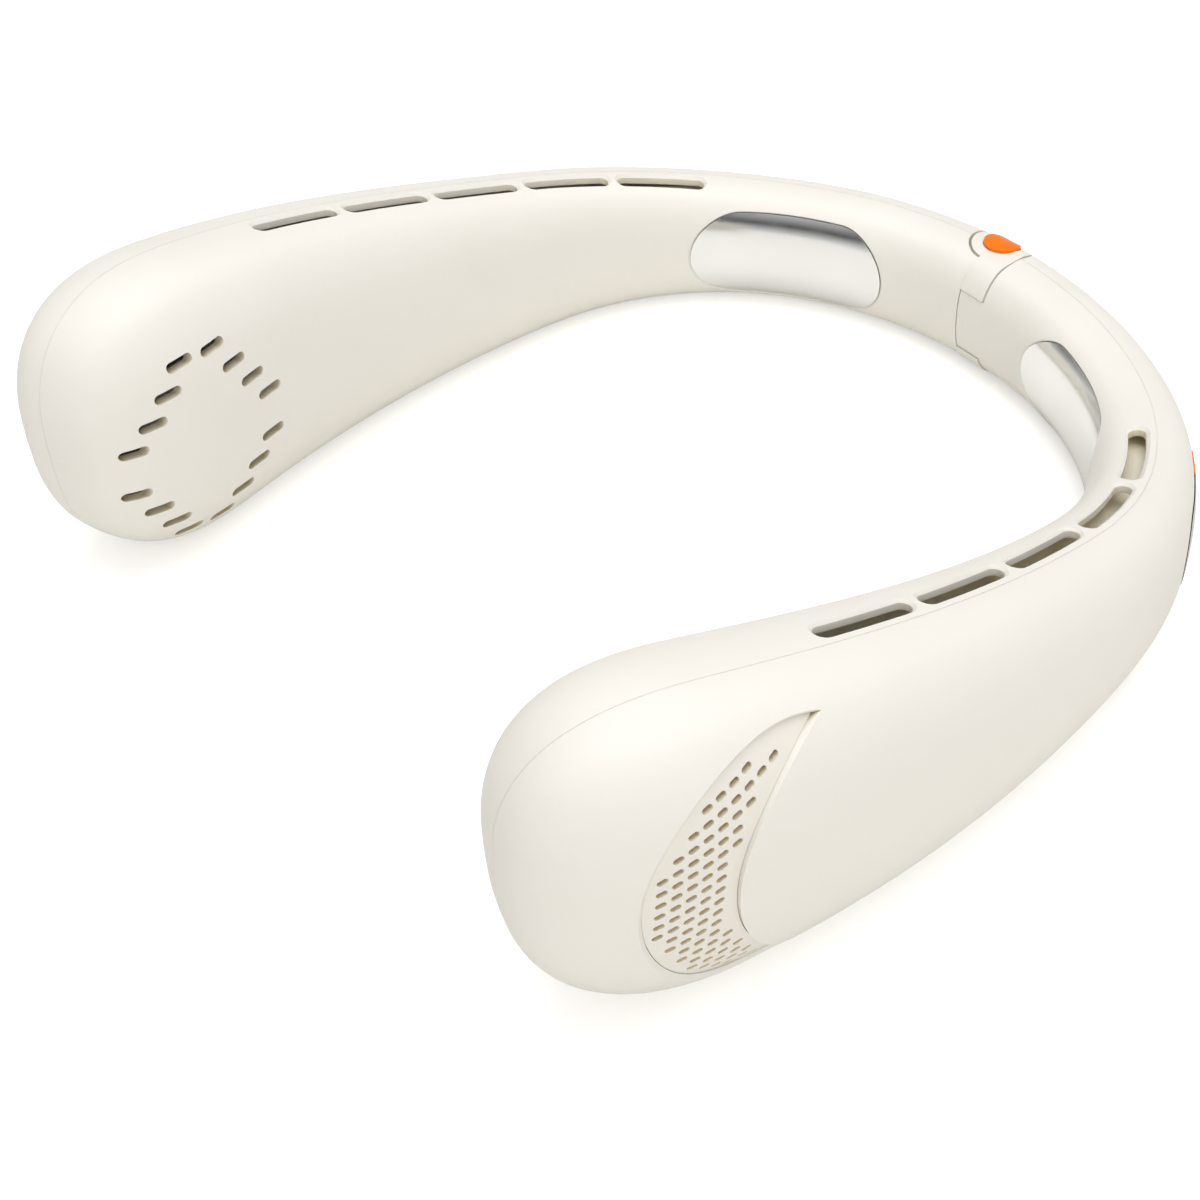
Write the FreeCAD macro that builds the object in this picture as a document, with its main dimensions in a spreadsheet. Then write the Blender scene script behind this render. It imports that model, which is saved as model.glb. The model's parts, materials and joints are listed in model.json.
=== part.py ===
import FreeCAD, Part
import functools
import math
import os
import re
import Sketcher
from FreeCAD import Placement, Rotation, Vector
from types import SimpleNamespace

# Electric neck fan: two hollow arms on one vertical hinge at the back of the neck.
# Frame: +Z up, the hinge at the back (+Y), the open end towards -Y, the arm with the controls at +X.
# The origin is on the table, under the middle of the whole fan. Millimetres and degrees.

DIMENSIONS = {
    # plan line of one arm, from the hinge to the tip of its bulb, as three tangent arcs
    "back_radius": 89.0,
    "back_turn": 26.3,
    "shoulder_radius": 68.6,
    "shoulder_turn": 54.7,
    "arm_radius": 234.0,
    "arm_length": 226.0,
    # section of the arm, a squared oval that swells from the band at the back to the bulb
    "band_height": 25.2,
    "bulb_height": 62.0,
    "height_swell_start": 42.5,
    "height_swell_end": 237.0,
    "band_thickness": 19.0,
    "bulb_thickness": 38.0,
    "thickness_swell_start": 56.0,
    "thickness_swell_end": 221.5,
    "section_power": 2.58,
    "nose_length": 37.5,
    "nose_power": 2.64,
    "back_lift": 1.0,
    "lift_run": 170.0,
    "foot_flat": 0.35,
    # shells
    "wall_thickness": 2.0,
    "parting_aside": 1.6,
    "parting_gap": 0.12,
    "seat_gap": 0.1,
    # outlet slots along the top of the inner shell
    "outlet_first": 65.6,
    "outlet_last": 171.9,
    "outlet_count": 5,
    "outlet_rib": 2.2,
    "outlet_width": 3.2,
    "outlet_inset": 1.8,
    "outlet_bevel": 0.6,
    # shelf inside the inner shell, the floor of the air duct under the outlet slots
    "duct_first": 63.5,
    "duct_last": 175.0,
    "duct_shallow": 4.0,
    "duct_deep": 10.0,
    "duct_floor": 0.8,
    "duct_aside": 3.4,
    # fan: intake slots on the inner face, crescent grille on the outer face, both leaning with the bulb
    "fan_station": 203.5,
    "vent_lean": 6.0,
    "intake_half_length": 19.2,
    "intake_half_height": 23.6,
    "intake_drop": 2.7,
    "intake_side_slots": 4,
    "intake_slot_length": 5.8,
    "intake_slot_width": 2.0,
    "crescent_back": 16.9,
    "crescent_drop": 1.0,
    "crescent_radius": 23.5,
    "shield_back": 32.3,
    "shield_drop": 2.0,
    "shield_radius": 24.0,
    "grille_recess": 0.9,
    "grille_lip": 0.8,
    "grille_thickness": 1.2,
    "grille_margin": 0.9,
    "grille_hole_length": 1.8,
    "grille_hole_width": 1.0,
    "grille_pitch": 4.6,
    "grille_row": 1.18,
    # cooling plate on the neck side, with its thermoelectric module and heat sink
    "plate_station": 45.8,
    "plate_length": 41.5,
    "plate_height": 19.8,
    "plate_sink": 0.15,
    "plate_lip": 0.4,
    "plate_thickness": 1.2,
    "module_length": 20.0,
    "module_height": 15.0,
    "module_thickness": 3.4,
    "module_back": 5.0,
    "module_lip": 0.6,
    "ceramic_thickness": 0.8,
    "sink_length": 22.0,
    "sink_base": 1.0,
    "sink_depth": 3.4,
    "fin_count": 5,
    "fin_thickness": 0.8,
    # hinge
    "hinge_aside": 3.0,
    "knuckle_radius": 6.2,
    "knuckle_gap": 0.6,
    "lug_height": 5.5,
    "lug_gap": 0.3,
    "lug_proud": 0.3,
    "seam_gap": 0.3,
    "plug_length": 13.0,
    "pin_radius": 1.5,
    "pin_play": 0.05,
    "washer_radius": 4.6,
    "washer_thickness": 0.4,
    "washer_play": 0.1,
    "cap_radius": 3.8,
    "cap_seat": 1.6,
    "cap_proud": 0.5,
    "trim_bevel": 0.25,
    # fan housing, motor and impeller, along the fan's axis from the motor base outwards
    "base_inset": 7.0,
    "base_thickness": 1.4,
    "base_radius": 8.5,
    "boss_bore": 5.4,
    "scroll_radius": 17.4,
    "scroll_wall": 1.2,
    "scroll_height": 13.6,
    "spoke_count": 4,
    "spoke_width": 3.0,
    "window_outer": 13.6,
    "window_tip": 17.0,
    "outlet_half": 11.0,
    "tube_radius": 3.4,
    "tube_height": 7.0,
    "bush_radius": 2.5,
    "bush_floor": 0.4,
    "shaft_radius": 1.0,
    "shaft_play": 0.03,
    "board_thickness": 0.8,
    "board_radius": 5.5,
    "stator_start": 3.2,
    "stator_height": 3.8,
    "stator_radius": 6.9,
    "stator_yoke": 1.2,
    "tooth_count": 6,
    "tooth_width": 1.6,
    "magnet_gap": 0.4,
    "magnet_thickness": 0.9,
    "cup_wall": 0.6,
    "cup_start": 3.4,
    "cup_height": 5.8,
    "impeller_radius": 16.4,
    "hub_thickness": 1.0,
    "skirt_wall": 1.0,
    "skirt_height": 4.6,
    "blade_count": 25,
    "blade_start": 2.4,
    "blade_height": 11.0,
    "blade_inner": 12.2,
    "blade_thickness": 0.7,
    "blade_lean": 14.0,
    "rim_width": 1.3,
    "rim_height": 1.0,
    "screw_circle": 7.0,
    "screw_count": 3,
    "screw_radius": 0.7,
    "screw_length": 5.0,
    "head_radius": 1.2,
    "head_height": 0.9,
    # battery pack
    "battery_station": 132.0,
    "battery_length": 46.0,
    "battery_thickness": 9.5,
    "battery_height": 17.0,
    "battery_round": 1.5,
    "battery_bottom": 5.0,
    "battery_inset": 0.4,
    "rib_thickness": 1.6,
    "rib_spread": 14.0,
    # control panel on the outer face of one arm
    "panel_station": 75.0,
    "panel_length": 30.0,
    "panel_height": 15.5,
    "panel_proud": 0.1,
    "panel_gap": 0.3,
    "button_length": 11.6,
    "button_back": 4.9,
    "button_flange": 0.8,
    "flange_reach": 0.5,
    "button_travel": 0.5,
    "press_gap": 0.1,
    "lens_thickness": 1.6,
    "display_length": 13.0,
    "display_height": 9.0,
    "display_depth": 4.6,
    "control_length": 40.0,
    "control_height": 12.0,
    "control_thickness": 1.2,
    "post_spread": 18.0,
    "post_radius": 1.6,
    "switch_side": 4.6,
    "switch_height": 1.1,
    "plunger_radius": 1.2,
    "plunger_height": 0.3,
    # charging socket on the underside
    "socket_station": 104.0,
    "socket_aside": 4.9,
    "socket_length": 8.94,
    "socket_width": 3.26,
    "socket_depth": 7.35,
    "socket_wall": 0.3,
    "socket_recess": 0.4,
    "tongue_length": 6.7,
    "tongue_width": 0.7,
    "tongue_back": 1.0,
}

RIM_POINTS = 20
BODY_STATIONS = 14
NOSE_STATIONS = 7
DUCT_STATIONS = 8
REACH = 60.0
TOUCHING = 0.01

doc = FreeCAD.newDocument("neck_fan")
sheet = doc.addObject("Spreadsheet::Sheet", "Sizes")
for row, (alias, number) in enumerate(DIMENSIONS.items(), 1):
    sheet.set("A%d" % row, alias)
    sheet.set("B%d" % row, str(number))
    sheet.setAlias("B%d" % row, alias)
doc.recompute()
size = SimpleNamespace(**{alias: float(sheet.get(alias)) for alias in DIMENSIONS})
parts = []


# The arm's form


def swell(s, start, end):
    """Smooth growth from 0 to 1 between two stations."""
    share = min(1.0, max(0.0, (s - start) / (end - start)))
    return share * share * (3 - 2 * share)


def half_height(s):
    grown = swell(s, size.height_swell_start, size.height_swell_end)
    return (size.band_height + (size.bulb_height - size.band_height) * grown) / 2


def half_thickness(s):
    grown = swell(s, size.thickness_swell_start, size.thickness_swell_end)
    return (size.band_thickness + (size.bulb_thickness - size.band_thickness) * grown) / 2


def mid_height(s):
    """Height of the section's middle: the underside is level, and lifted a little towards the back."""
    return half_height(s) - size.foot_flat + size.back_lift * (1 - swell(s, 0.0, size.lift_run))


def walk(s):
    """Plan point and turn of the arm's line at a distance s from the hinge, with the hinge at zero."""
    if s < 0:
        return s, 0.0, 0.0
    legs = (
        (size.back_radius, math.radians(size.back_turn)),
        (size.shoulder_radius, math.radians(size.shoulder_turn)),
        (size.arm_radius, math.inf),
    )
    x = y = turn = 0.0
    for radius, sweep in legs:
        step = min(sweep, s / radius)
        x += radius * (math.sin(turn + step) - math.sin(turn))
        y += radius * (math.cos(turn + step) - math.cos(turn))
        turn += step
        s -= radius * step
    return x, y, turn


def plan(s, aside=0.0, height=0.0):
    """Point beside the arm's line: aside is outwards, away from the neck."""
    x, y, turn = walk(s)
    return Vector(x + math.sin(turn) * aside, hinge_y + y + math.cos(turn) * aside, height)


def closing(s, grow):
    """Share of the full section that is left on the rounded nose of the bulb."""
    run = max(0.0, s - (size.arm_length - size.nose_length)) / (size.nose_length + grow)
    return max(0.0, 1 - run ** size.nose_power) ** (1 / size.nose_power)


def rim(s, grow=0.0):
    """Points round one section: a superellipse, grown outwards or, if negative, inwards."""
    wide = (half_thickness(s) + grow) * closing(s, grow)
    tall = (half_height(s) + grow) * closing(s, grow)
    power = 2 / size.section_power
    points = []
    for k in range(RIM_POINTS):
        angle = 2 * math.pi * k / RIM_POINTS
        across = math.copysign(abs(math.cos(angle)) ** power, math.cos(angle))
        up = math.copysign(abs(math.sin(angle)) ** power, math.sin(angle))
        points.append(plan(s, wide * across, mid_height(s) + tall * up))
    return points


def stations(first, grow):
    nose_start = size.arm_length - size.nose_length
    gaps = max(4, round(BODY_STATIONS * (nose_start - first) / nose_start))
    body = [first + (nose_start - first) * k / gaps for k in range(gaps + 1)]
    quarter = math.pi / 2 / NOSE_STATIONS
    nose = [nose_start + (size.nose_length + grow) * math.sin(quarter * k) for k in range(1, NOSE_STATIONS)]
    return body + nose


@functools.cache
def loft(grow=0.0, first=0.0):
    """Solid of the arm from a station to its tip, with its skin moved by grow."""
    even_steps = [k / RIM_POINTS for k in range(RIM_POINTS + 1)]
    wires = []
    for s in stations(first, grow):
        curve = Part.BSplineCurve()
        curve.interpolate(Points=rim(s, grow), PeriodicFlag=True, Parameters=even_steps)
        wires.append(Part.Wire([curve.toShape(0.0, 0.5), curve.toShape(0.5, 1.0)]))
    end = size.arm_length + grow
    tip = Part.Vertex(plan(end, 0.0, mid_height(end)))
    return Part.makeLoft(wires + [tip], True, False)


hinge_y = 0.0
front = min(point.y for s in stations(0.0, 0.0) for point in rim(s))
hinge_y = -(front + size.band_thickness / 2) / 2


# Frames and simple tools


def frame_at(s, aside=0.0, height=0.0):
    """Local frame on the arm: x along it towards the tip, y outwards, z up."""
    turn = math.degrees(walk(s)[2])
    return Placement(plan(s, aside, height), Rotation(Vector(0, 0, 1), -turn))


def axle_at(s, aside):
    """Local frame whose z axis points outwards, for what turns in the bulb."""
    facing = Placement(Vector(0, 0, 0), Rotation(Vector(1, 0, 0), -90))
    return frame_at(s, aside, mid_height(s)).multiply(facing)


def placed(shape, frame):
    return shape.transformed(frame.Matrix)


def block(low, high):
    """Box between two corners."""
    return Part.makeBox(high[0] - low[0], high[1] - low[1], high[2] - low[2], Vector(*low))


def obround(length, width):
    """Face of a slot with round ends in the local x-z plane."""
    half = length / 2 - width / 2
    side = width / 2
    top = Part.LineSegment(Vector(-half, 0, side), Vector(half, 0, side))
    front_end = Part.Arc(Vector(half, 0, side), Vector(length / 2, 0, 0), Vector(half, 0, -side))
    bottom = Part.LineSegment(Vector(half, 0, -side), Vector(-half, 0, -side))
    back_end = Part.Arc(Vector(-half, 0, -side), Vector(-length / 2, 0, 0), Vector(-half, 0, side))
    return Part.Face(Part.Wire([edge.toShape() for edge in (top, front_end, bottom, back_end)]))


def inwards(face, frame):
    return placed(face.extrude(Vector(0, -REACH, 0)), frame)


def outwards(face, frame):
    return placed(face.extrude(Vector(0, REACH, 0)), frame)


def drum(radius, low, high, centre=Vector(0, 0, 0)):
    """Upright cylinder between two heights."""
    return Part.makeCylinder(radius, high - low, centre + Vector(0, 0, low))


def mirrored(shape):
    return shape.mirror(Vector(0, 0, 0), Vector(1, 0, 0))


def piece(label, shape):
    """Sub-part whose shape is worked out from the sizes in the sheet."""
    part = doc.addObject("Part::Feature", label)
    part.Label = label
    part.Shape = shape
    parts.append(part)
    return part


def expression(text):
    """Expression text with each size name pointed at the sheet."""
    return re.sub(r"[a-z]+(_[a-z]+)+", lambda name: "Sizes." + name.group(0), text)


def outline(body, role, corners):
    """Closed sketch of straight lines whose corners are bound to the sheet."""
    sketch = body.newObject("Sketcher::SketchObject", body.Name + "_outline")
    support = next(item for item in body.Origin.OriginFeatures if item.Role == role)
    sketch.AttachmentSupport = [(support, "")]
    sketch.MapMode = "FlatFace"
    bound = [(expression(x), expression(y)) for x, y in corners]
    spots = [Vector(sheet.evalExpression(x), sheet.evalExpression(y), 0) for x, y in bound]
    count = len(spots)
    for k in range(count):
        sketch.addGeometry(Part.LineSegment(spots[k], spots[(k + 1) % count]), False)
    for k in range(count):
        sketch.addConstraint(Sketcher.Constraint("Coincident", k, 2, (k + 1) % count, 1))
    for k, (x, y) in enumerate(bound):
        for kind, text, value, axis in (("DistanceX", x, spots[k].x, -2), ("DistanceY", y, spots[k].y, -1)):
            if text == "0":
                sketch.addConstraint(Sketcher.Constraint("PointOnObject", k, 1, axis))
            else:
                index = sketch.addConstraint(Sketcher.Constraint(kind, -1, 1, k, 1, value))
                sketch.setExpression("Constraints[%d]" % index, text)
    return sketch


def new_body(label, frame):
    body = doc.addObject("PartDesign::Body", label)
    body.Label = label
    body.Placement = frame
    parts.append(body)
    return body


def turned(label, frame, corners):
    """Body of revolution about its z axis: corners are radius and height."""
    body = new_body(label, frame)
    revolution = body.newObject("PartDesign::Revolution", label + "_turned")
    revolution.Profile = outline(body, "XZ_Plane", corners)
    revolution.ReferenceAxis = (revolution.Profile[0], ["V_Axis"])
    revolution.Angle = 360
    body.Tip = revolution
    return body


def ring(label, frame, inner, outer, low, high):
    return turned(label, frame, [(inner, low), (outer, low), (outer, high), (inner, high)])


def padded(label, frame, role, corners, length):
    """Body with one outline padded evenly to both sides of its plane."""
    body = new_body(label, frame)
    pad = body.newObject("PartDesign::Pad", label + "_pad")
    pad.Profile = outline(body, role, corners)
    pad.SideType = "Symmetric"
    pad.setExpression("Length", expression(length))
    body.Tip = pad
    return body


def oblong(label, frame, along, across, up):
    """Rectangular body with its middle at its frame."""
    corners = [("-%s / 2" % along, "-%s / 2" % up), ("%s / 2" % along, "-%s / 2" % up)]
    corners += [("%s / 2" % along, "%s / 2" % up), ("-%s / 2" % along, "%s / 2" % up)]
    return padded(label, frame, "XZ_Plane", corners, across)


def patterned(body, feature, count):
    """Copies of a feature round the body's z axis."""
    pattern = body.newObject("PartDesign::PolarPattern", feature.Name + "_pattern")
    axis = next(item for item in body.Origin.OriginFeatures if item.Role == "Z_Axis")
    pattern.Originals = [feature]
    pattern.Axis = (axis, [""])
    pattern.Angle = 360
    pattern.setExpression("Occurrences", expression(count))
    body.Tip = pattern


def left_copy(source, label):
    copy = doc.addObject("Part::Mirroring", label)
    copy.Label = label
    copy.Source = source
    copy.Base = Vector(0, 0, 0)
    copy.Normal = Vector(1, 0, 0)
    parts.append(copy)
    return copy


# Arm: skin, cavity and the wall that parts the two shells

skin = loft()
cavity = loft(-size.wall_thickness)
table = block((-REACH * 3, -REACH * 3, -REACH), (REACH * 3, REACH * 3, 0))
arm_wall = skin.cut(cavity).cut(table)


def neck_side(aside):
    """Everything on the neck side of a wall that follows the arm's line."""
    back_end = math.radians(size.back_turn) * size.back_radius
    shoulder_end = back_end + math.radians(size.shoulder_turn) * size.shoulder_radius
    marks = (0.0, back_end, shoulder_end, size.arm_length + REACH / 3)
    edges = [Part.LineSegment(plan(-REACH / 3, aside), plan(0.0, aside)).toShape()]
    for start, end in zip(marks, marks[1:]):
        bend = Part.Arc(plan(start, aside), plan((start + end) / 2, aside), plan(end, aside))
        edges.append(bend.toShape())
    edges.append(Part.LineSegment(plan(marks[-1], aside), plan(-REACH / 3, aside)).toShape())
    face = Part.Face(Part.Wire(edges))
    face.translate(Vector(0, 0, -REACH / 6))
    return face.extrude(Vector(0, 0, size.bulb_height + REACH))


def curved_slot(start, end, aside, width):
    """Upright prism of a round-ended slot that follows the arm, from mid height upwards."""
    first = start + width / 2
    last = end - width / 2
    middle = (first + last) / 2
    near = aside - width / 2
    far = aside + width / 2
    sides = (
        Part.Arc(plan(first, far), plan(middle, far), plan(last, far)),
        Part.Arc(plan(last, far), plan(end, aside), plan(last, near)),
        Part.Arc(plan(last, near), plan(middle, near), plan(first, near)),
        Part.Arc(plan(first, near), plan(start, aside), plan(first, far)),
    )
    face = Part.Face(Part.Wire([edge.toShape() for edge in sides]))
    face.translate(Vector(0, 0, mid_height(middle)))
    return face.extrude(Vector(0, 0, REACH))


def duct_shelf():
    """Shelf from the neck side's wall to under the outlet slots, deeper towards the fan."""
    wires = []
    for k in range(DUCT_STATIONS + 1):
        share = k / DUCT_STATIONS
        s = size.duct_first + (size.duct_last - size.duct_first) * share
        depth = size.duct_shallow + (size.duct_deep - size.duct_shallow) * share
        high = mid_height(s) + half_height(s) - depth
        low = high - size.duct_floor
        near = -half_thickness(s)
        far = size.duct_aside
        corners = [plan(s, near, low), plan(s, far, low), plan(s, far, high), plan(s, near, high)]
        wires.append(Part.makePolygon(corners + corners[:1]))
    return Part.makeLoft(wires, True, False).common(loft(-size.wall_thickness / 2))


def outlets():
    pitch = (size.outlet_last - size.outlet_first) / size.outlet_count
    half_rib = size.outlet_rib / 2
    slots = []
    for k in range(int(size.outlet_count)):
        start = size.outlet_first + pitch * k + half_rib
        slots.append(curved_slot(start, start + pitch - 2 * half_rib, -size.outlet_inset, size.outlet_width))
    return Part.makeCompound(slots)


def edges_on(shape, first, second):
    """Edges of a shape that lie on the outsides of two solids."""
    edges = []
    for edge in shape.Edges:
        middle = Part.Vertex(edge.valueAt((edge.FirstParameter + edge.LastParameter) / 2))
        apart = [min(middle.distToShape(shell)[0] for shell in solid.Shells) for solid in (first, second)]
        if max(apart) < TOUCHING:
            edges.append(edge)
    return edges


fan_frame = frame_at(size.fan_station, 0.0, mid_height(size.fan_station))
fan_axle = axle_at(size.fan_station, -size.base_inset)
plate_frame = frame_at(size.plate_station, 0.0, mid_height(size.plate_station))
battery_frame = frame_at(
    size.battery_station, -size.battery_inset, size.battery_bottom + size.battery_height / 2
)
panel_frame = frame_at(size.panel_station, 0.0, mid_height(size.panel_station))


def leaning(x, z):
    """Place on the bulb of a point of a vent pattern, which leans with the bulb."""
    lean = math.radians(size.vent_lean)
    return Vector(x * math.cos(lean) - z * math.sin(lean), 0, x * math.sin(lean) + z * math.cos(lean))


def skin_slant(x):
    """Cosine of the neck side's slant at a distance along the arm from the fan's axis."""
    s = size.fan_station + x
    step = size.intake_slot_width / 2
    across = [half_thickness(s + k * step) * closing(s + k * step, 0.0) for k in (-1, 1)]
    return math.cos(math.atan2(across[1] - across[0], 2 * step))


def intake_slots():
    """Short slots along the arm, in four straight rows that stand on a corner round the fan's axis."""
    count = int(size.intake_side_slots)
    slots = []
    for toward, up in ((1, 1), (-1, 1), (-1, -1), (1, -1)):
        for k in range(1, count + 1):
            share = k / (count + 1)
            spot = leaning(toward * size.intake_half_length * (1 - share), up * size.intake_half_height * share)
            slot = obround(size.intake_slot_length * skin_slant(spot.x), size.intake_slot_width)
            slot.translate(spot - Vector(0, 0, size.intake_drop))
            slots.append(inwards(slot, fan_frame))
    return Part.makeCompound(slots)


def motor_boss():
    """Hollow boss of the inner shell that carries the motor base, with its pilot holes."""
    boss = drum(size.base_radius, -REACH, 0).cut(drum(size.boss_bore, -REACH, 0))
    for spot in screw_spots():
        boss = boss.cut(drum(size.screw_radius + size.shaft_play, -size.screw_length - 1, 0, spot))
    return placed(boss, fan_axle).common(loft(-size.wall_thickness / 2, size.fan_station - REACH))


def screw_spots():
    turns = [2 * math.pi * k / size.screw_count for k in range(int(size.screw_count))]
    return [Vector(math.cos(turn), math.sin(turn), 0) * size.screw_circle for turn in turns]


crescent_middle = Vector(-size.crescent_back, 0, -size.crescent_drop)
shield_middle = Vector(-size.shield_back, 0, -size.shield_drop)


def outward_drum(radius, middle):
    """Cylinder from inside the bulb outwards, round a point beside the fan's axis."""
    return placed(Part.makeCylinder(radius, REACH, middle, Vector(0, 1, 0)), fan_frame)


def crescent(margin):
    """Prism of the crescent on the bulb's outer face: a round edge less the shield's round end."""
    round_edge = outward_drum(size.crescent_radius - margin, crescent_middle)
    return round_edge.cut(outward_drum(size.shield_radius + margin, shield_middle))


def hinge_socket(radius):
    return drum(radius, -REACH, size.bulb_height + REACH, hinge_axis)


hinge_axis = Vector(0, hinge_y + size.hinge_aside, 0)
band_bottom = mid_height(0.0) - half_height(0.0)
band_top = mid_height(0.0) + half_height(0.0)
lug_top = band_top - size.lug_height
lug_bottom = band_bottom + size.lug_height


def lug_room(gap):
    """Room of the two lugs beside the seam, on the neck side of the hinge's axis."""
    neck_face = hinge_y - size.band_thickness
    reach = size.knuckle_radius + gap
    upper = block((0, neck_face, lug_top - gap), (reach, hinge_axis.y, band_top + REACH))
    lower = block((0, neck_face, band_bottom - REACH), (reach, hinge_axis.y, lug_bottom + gap))
    return Part.makeCompound([upper, lower])


# Shells of both arms

seam_side = block((size.seam_gap / 2, -REACH * 3, -REACH), (REACH * 3, REACH * 3, REACH * 2))
trimmed = arm_wall.common(seam_side).cut(hinge_socket(size.knuckle_radius + size.knuckle_gap))
inner_half = trimmed.common(neck_side(size.parting_aside - size.parting_gap / 2))
outer_half = trimmed.cut(neck_side(size.parting_aside + size.parting_gap / 2))

outlet_tool = outlets()
plate_tool = inwards(
    obround(size.plate_length + 2 * size.seat_gap, size.plate_height + 2 * size.seat_gap), plate_frame
)
inner_half = inner_half.cut(outlet_tool)
inner_half = inner_half.makeChamfer(size.outlet_bevel, edges_on(inner_half, outlet_tool, skin))
inner_half = inner_half.cut(plate_tool)
inner_half = inner_half.makeChamfer(size.plate_lip, edges_on(inner_half, plate_tool, skin))
inner_half = inner_half.cut(intake_slots()).fuse(motor_boss()).fuse(duct_shelf())


def battery_ribs():
    """Upright ribs of the outer shell that the battery pack rests against."""
    ribs = []
    battery_side = size.battery_thickness / 2 + size.seat_gap
    tall = size.battery_height / 2 - size.battery_round
    for along in (-size.rib_spread, size.rib_spread):
        low = (along - size.rib_thickness / 2, battery_side, -tall)
        high = (along + size.rib_thickness / 2, battery_side + REACH / 3, tall)
        ribs.append(placed(block(low, high), battery_frame))
    kept = loft(-size.wall_thickness / 2).cut(neck_side(size.parting_aside + size.parting_gap / 2))
    return [rib.common(kept) for rib in ribs]


outer_half = outer_half.cut(crescent(0.0))
crescent_edge = outward_drum(size.crescent_radius, crescent_middle)
outer_half = outer_half.makeChamfer(size.grille_lip, edges_on(outer_half, crescent_edge, skin))
for rib in battery_ribs():
    outer_half = outer_half.fuse(rib)


def panel_outline(extra, start, end):
    """Part of the panel's obround between two places along the arm, as a prism outwards."""
    face = obround(size.panel_length + 2 * extra, size.panel_height + 2 * extra)
    whole = face.extrude(Vector(0, REACH, 0))
    return placed(whole.common(block((start, -1, -REACH), (end, REACH, REACH))), panel_frame)


switch_top = size.button_back - size.button_flange - size.button_travel - size.press_gap
board_face = switch_top - size.switch_height - size.plunger_height


def control_posts():
    """Posts of the outer shell that carry the control board."""
    posts = []
    kept = loft(-size.wall_thickness / 2)
    for along in (-size.post_spread, size.post_spread):
        post = drum(size.post_radius, board_face, REACH / 2, Vector(along, 0, 0))
        turned_out = Placement(Vector(0, 0, 0), Rotation(Vector(1, 0, 0), -90))
        posts.append(placed(post, panel_frame.multiply(turned_out)).common(kept))
    return posts


def socket_frame():
    """Frame at the mouth of the charging socket, with y across the arm and z up."""
    s = size.socket_station
    across = abs(size.socket_aside / half_thickness(s)) ** size.section_power
    underside = mid_height(s) - half_height(s) * (1 - across) ** (1 / size.section_power)
    return frame_at(s, size.socket_aside, underside + size.socket_recess)


def upright_obround(length, width, low, high):
    """Upright prism of an obround that lies along the arm."""
    flat = obround(length, width)
    flat.rotate(Vector(0, 0, 0), Vector(1, 0, 0), -90)
    flat.translate(Vector(0, 0, low))
    return flat.extrude(Vector(0, 0, high - low))


mouth = upright_obround(
    size.socket_length + 2 * size.seat_gap, size.socket_width + 2 * size.seat_gap, -REACH / 6, size.socket_depth
)
far_along = size.panel_length
right_outer = outer_half.cut(panel_outline(size.panel_gap, -far_along, far_along))
right_outer = right_outer.cut(placed(mouth, socket_frame()))
for post in control_posts():
    right_outer = right_outer.fuse(post)

right_inner_shell = piece("right_inner_shell", inner_half.cut(lug_room(size.lug_gap)))
right_outer_shell = piece("right_outer_shell", right_outer.cut(lug_room(size.lug_gap)))
left_inner_shell = piece("left_inner_shell", mirrored(inner_half))
left_outer_shell = piece("left_outer_shell", mirrored(outer_half))


# Hinge: fork with two lugs on the left arm, barrel on the right arm

both_skins = skin.fuse(mirrored(skin))
plug_skin = loft(-size.wall_thickness - size.seat_gap)
plug_room = block((size.seam_gap / 2, -REACH * 3, 0), (size.plug_length, REACH * 3, REACH * 2))
plug = plug_skin.common(plug_room)
barrel_low = lug_bottom + size.washer_thickness + 2 * size.washer_play
barrel_high = lug_top - size.washer_thickness - 2 * size.washer_play


def hinge_fork():
    lugs = []
    neck_part = loft(size.lug_proud).fuse(mirrored(plug_skin))
    for low, high in ((band_bottom, lug_bottom), (lug_top, band_top)):
        disc = drum(size.knuckle_radius, low, high, hinge_axis).common(both_skins)
        face = hinge_y - size.band_thickness
        reach = size.knuckle_radius
        cheek = block((-size.plug_length / 2, face, low), (reach, hinge_axis.y, high)).common(neck_part)
        lugs.append(disc.fuse(cheek))
    solid = mirrored(plug).fuse(lugs)
    clear = drum(size.knuckle_radius + size.knuckle_gap, lug_bottom, lug_top, hinge_axis)
    solid = solid.cut(clear)
    solid = solid.cut(drum(size.pin_radius, 0, band_top, hinge_axis))
    cap_hole = size.cap_radius + size.seat_gap
    solid = solid.cut(drum(cap_hole, cap_floor_top, band_top + 1, hinge_axis))
    return solid.cut(drum(cap_hole, -1, cap_floor_bottom, hinge_axis))


def hinge_barrel():
    barrel = drum(size.knuckle_radius, barrel_low, barrel_high, hinge_axis).common(both_skins)
    solid = plug.cut(lug_room(size.lug_gap))
    for low, high in ((0, barrel_low), (barrel_high, band_top + 1)):
        solid = solid.cut(drum(size.knuckle_radius + size.knuckle_gap, low, high, hinge_axis))
    return solid.fuse(barrel).cut(drum(size.pin_radius + size.pin_play, 0, band_top, hinge_axis))


cap_floor_top = lug_top + size.cap_seat
cap_floor_bottom = lug_bottom - size.cap_seat


def hinge_cap(low, high):
    """Cap that fills a lug's counterbore and stands a little proud of the arm's skin."""
    proud = loft(size.cap_proud)
    bulge = proud.fuse(mirrored(proud))
    return drum(size.cap_radius, low, high, hinge_axis).common(bulge).cut(table)


left_hinge_fork = piece("left_hinge_fork", hinge_fork())
right_hinge_barrel = piece("right_hinge_barrel", hinge_barrel())
hinge_cap_top = piece("hinge_cap_top", hinge_cap(cap_floor_top, band_top + REACH))
hinge_cap_bottom = piece("hinge_cap_bottom", hinge_cap(-REACH, cap_floor_bottom))

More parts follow.
